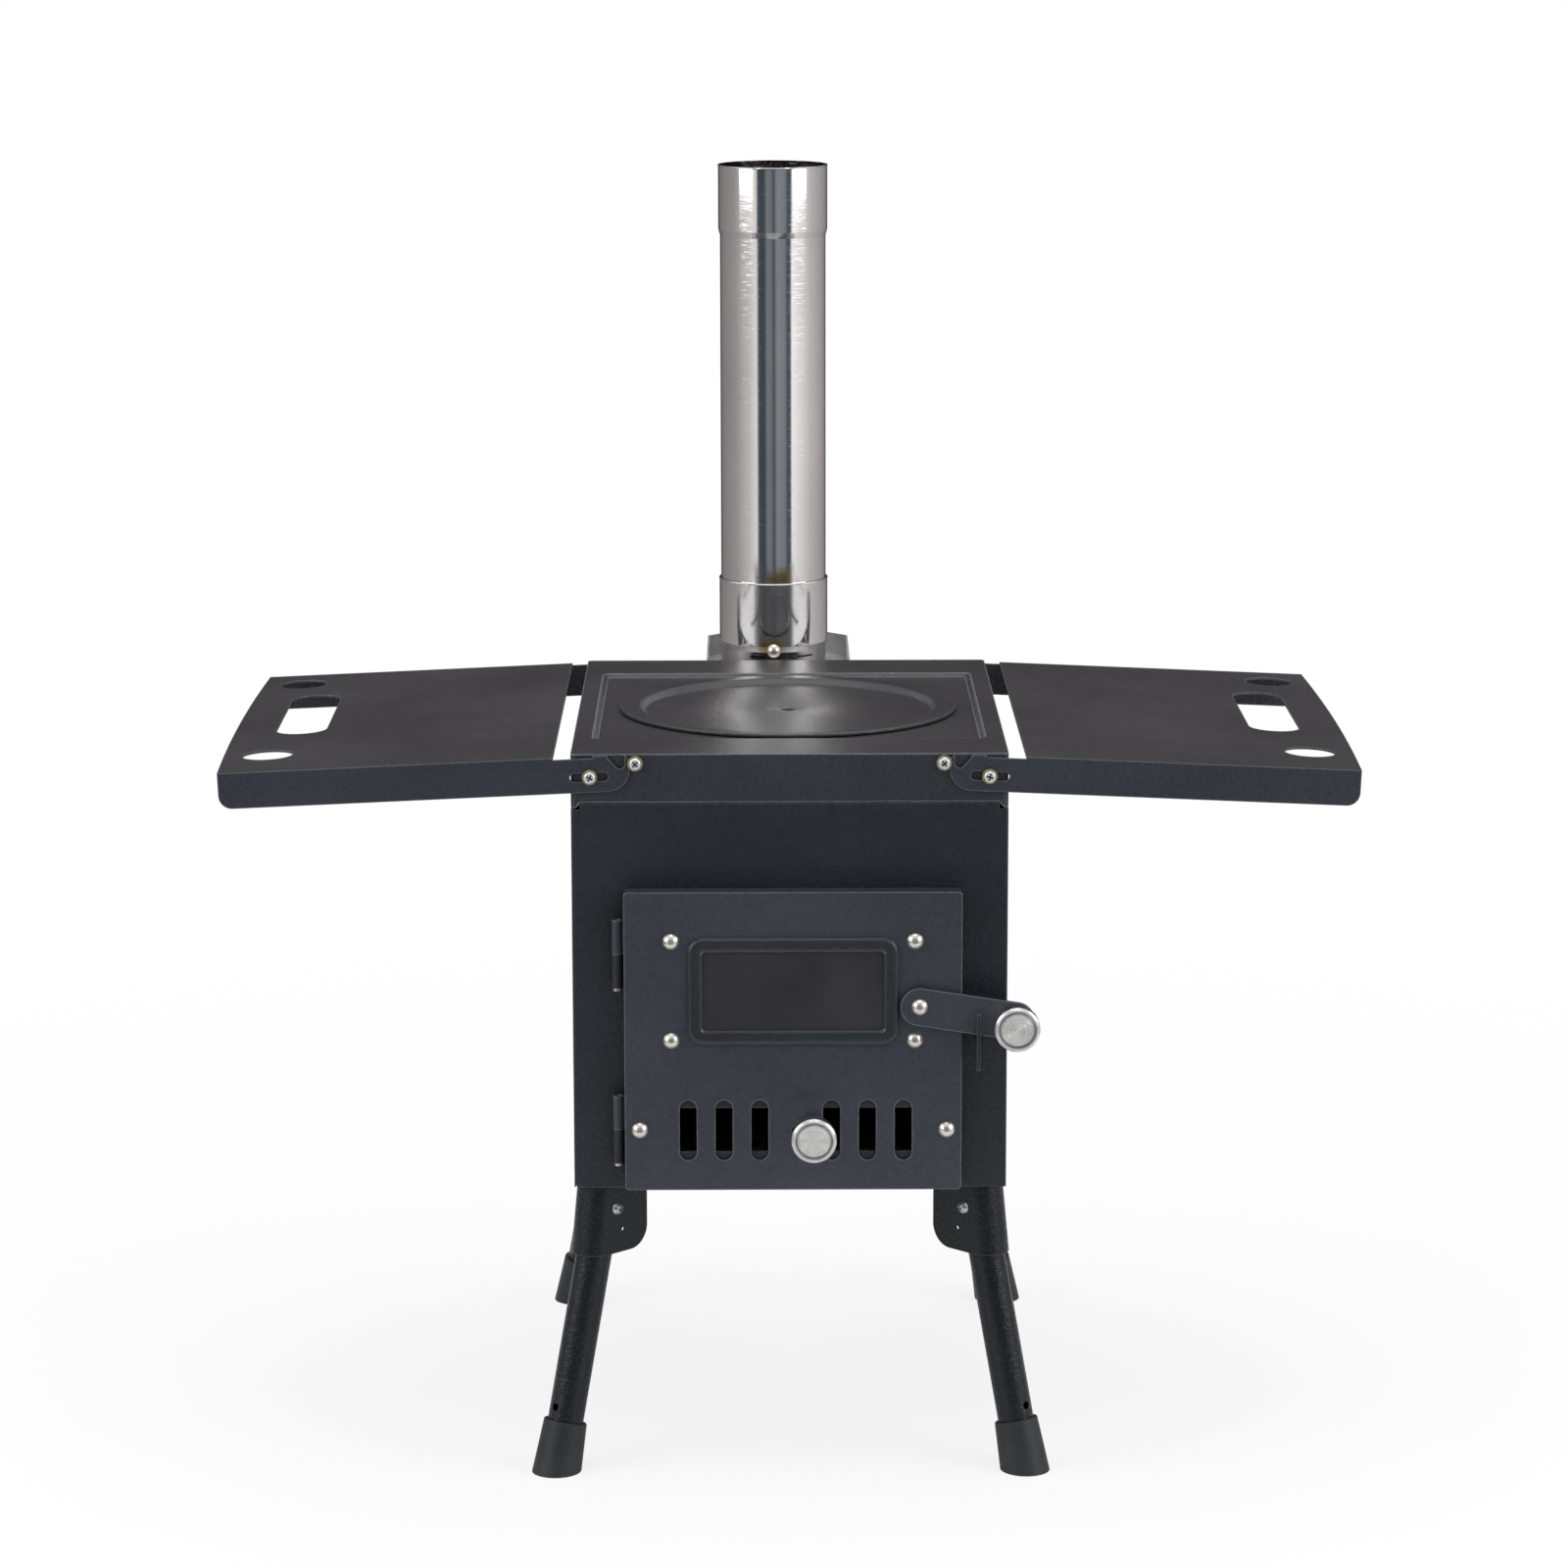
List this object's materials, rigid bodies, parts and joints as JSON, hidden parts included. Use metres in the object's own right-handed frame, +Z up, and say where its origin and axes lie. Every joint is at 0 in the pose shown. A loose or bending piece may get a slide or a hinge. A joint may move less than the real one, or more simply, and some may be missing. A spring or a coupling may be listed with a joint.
{
  "type": "tent wood stove",
  "caption": "Compact sheet-steel wood stove with a glazed fire door, round cooking lid, folding side shelves, folding legs and a plug-in chimney pipe.",
  "frame": {"origin": "on the floor, under the middle of the whole stove's box with the shelves out", "axes": "+X to the right seen from the door, +Y from the door to the chimney, +Z up"},
  "size_m": [0.6002, 0.42, 0.6665],
  "materials": {
    "body_paint": "fine black heat-resistant paint",
    "door_paint": "fine dark grey heat-resistant paint",
    "top_paint": "warm grey-black heat-resistant paint",
    "stainless": "mirror stainless sheet",
    "bare_sheet": "unpainted grey sheet",
    "nickel": "bright rivet",
    "turned_steel": "turned face with a radial sheen",
    "zinc": "bright zinc plate",
    "yellow_zinc": "yellow zinc plate",
    "rubber": "matt moulded rubber",
    "glass": "dark ceramic glass",
    "burnt_steel": "scaled bare steel"
  },
  "bodies": {
    "firebox": {"firebox_wrap": "body_paint", "firebox_rear": "body_paint", "firebox_floor": "body_paint", "fire_grate": "burnt_steel", "top_cap": "top_paint", "flue_box": "bare_sheet", "flue_box_roof": "bare_sheet", "flue_box_screws": "zinc", "flue_stub": "stainless", "flue_stub_rivet": "nickel", "latch_keeper": "body_paint", "hinge_body_barrels": "body_paint", "hinge_pins": "nickel", "shelf_pivot_screws": "zinc", "shelf_latch_screws": "zinc", "shelf_washers": "yellow_zinc", "shelf_nuts": "zinc", "bracket_front_left": "body_paint", "bracket_front_right": "body_paint", "bracket_back_left": "body_paint", "bracket_back_right": "body_paint", "leg_bolts": "zinc", "leg_nuts": "zinc"},
    "cooking_lid": {"cooking_lid": "top_paint"},
    "chimney": {"chimney_pipe": "stainless"},
    "door": {"door_panel": "door_paint", "window_glass": "glass", "window_retainer": "door_paint", "window_rivets": "nickel", "air_slider_guide": "door_paint", "guide_rivets": "nickel", "latch_pivot_rivet": "nickel", "hinge_door_barrels": "door_paint"},
    "latch_lever": {"latch_lever": "body_paint", "latch_knob": "turned_steel"},
    "air_slider": {"air_slider": "body_paint", "air_knob": "turned_steel"},
    "left_pivot": {"left_pivot_bushes": "yellow_zinc"},
    "right_pivot": {"right_pivot_bushes": "yellow_zinc"},
    "left_shelf": {"left_shelf": "top_paint"},
    "right_shelf": {"right_shelf": "top_paint"},
    "leg_front_left": {"leg_front_left": "body_paint", "foot_front_left": "rubber"},
    "leg_front_right": {"leg_front_right": "body_paint", "foot_front_right": "rubber"},
    "leg_back_left": {"leg_back_left": "body_paint", "foot_back_left": "rubber"},
    "leg_back_right": {"leg_back_right": "body_paint", "foot_back_right": "rubber"}
  },
  "joints": [
    {"name": "door_hinge", "type": "hinge", "parent": "firebox", "child": "door", "pos_m": [-0.09025, -0.18095, 0.186], "axis": [0, 0, -1], "range_deg": [0, 105]},
    {"name": "latch_lift", "type": "hinge", "parent": "door", "child": "latch_lever", "pos_m": [0.0676, -0.188, 0.2537], "axis": [0, -1, 0], "range_deg": [0, 33]},
    {"name": "air_slide", "type": "slide", "parent": "door", "child": "air_slider", "axis": [-1, 0, 0], "range_m": [0, 0.0094]},
    {"name": "lid_lift", "type": "slide", "parent": "firebox", "child": "cooking_lid", "axis": [0, 0, 1], "range_m": [0, 0.06]},
    {"name": "pipe_lift", "type": "slide", "parent": "firebox", "child": "chimney", "axis": [0, 0, 1], "range_m": [0, 0.045]},
    {"name": "right_shelf_fold", "type": "hinge", "parent": "firebox", "child": "right_pivot", "pos_m": [0.104, -0.03, 0.3737], "axis": [0, 1, 0], "range_deg": [-110, 84]},
    {"name": "right_shelf_slide", "type": "slide", "parent": "right_pivot", "child": "right_shelf", "axis": [0.999, 0, -0.0436], "range_m": [0, 0.0076]},
    {"name": "left_shelf_fold", "type": "hinge", "parent": "firebox", "child": "left_pivot", "pos_m": [-0.104, -0.03, 0.3737], "axis": [0, -1, 0], "range_deg": [-110, 84]},
    {"name": "left_shelf_slide", "type": "slide", "parent": "left_pivot", "child": "left_shelf", "axis": [-0.999, 0, -0.0436], "range_m": [0, 0.0076]},
    {"name": "leg_fold_front_left", "type": "hinge", "parent": "firebox", "child": "leg_front_left", "pos_m": [-0.0998, -0.1608, 0.1395], "axis": [0.7071, -0.7071, 0], "range_deg": [0, 65]},
    {"name": "leg_fold_front_right", "type": "hinge", "parent": "firebox", "child": "leg_front_right", "pos_m": [0.0998, -0.1608, 0.1395], "axis": [0.7071, 0.7071, 0], "range_deg": [0, 65]},
    {"name": "leg_fold_back_left", "type": "hinge", "parent": "firebox", "child": "leg_back_left", "pos_m": [-0.0998, 0.1008, 0.1395], "axis": [-0.7071, -0.7071, 0], "range_deg": [0, 65]},
    {"name": "leg_fold_back_right", "type": "hinge", "parent": "firebox", "child": "leg_back_right", "pos_m": [0.0998, 0.1008, 0.1395], "axis": [-0.7071, 0.7071, 0], "range_deg": [0, 65]}
  ]
}
